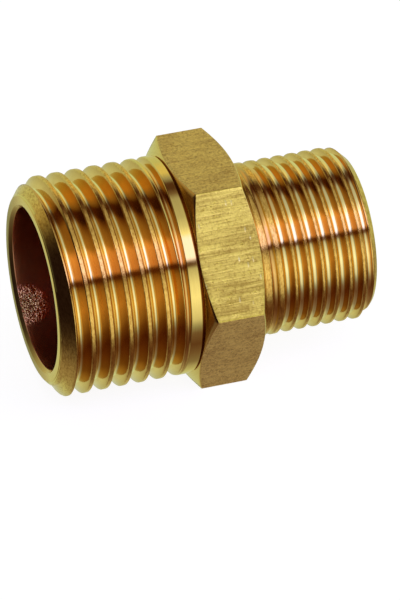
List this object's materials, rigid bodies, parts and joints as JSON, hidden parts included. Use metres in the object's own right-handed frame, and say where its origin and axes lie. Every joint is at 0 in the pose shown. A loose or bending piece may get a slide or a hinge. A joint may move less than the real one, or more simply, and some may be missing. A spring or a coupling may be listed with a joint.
{
  "type": "reducing hex nipple",
  "caption": "Brass reducing hex nipple: larger male pipe thread, wrench hexagon and smaller male pipe thread on one axis, with a stepped bore through.",
  "frame": {"origin": "on the axis, halfway between the two end faces", "axes": "X along the thread axis with the larger thread at -X; two flats of the hexagon face +Z and -Z, two of its corners point to +Y and -Y"},
  "size_m": [0.0314, 0.0242, 0.0208],
  "materials": {
    "brass": "bright machined brass: turned threads and bore, drawn hexagon flats with fine lines along the axis"
  },
  "bodies": {
    "root": {"nipple_body": "brass"}
  },
  "joints": []
}
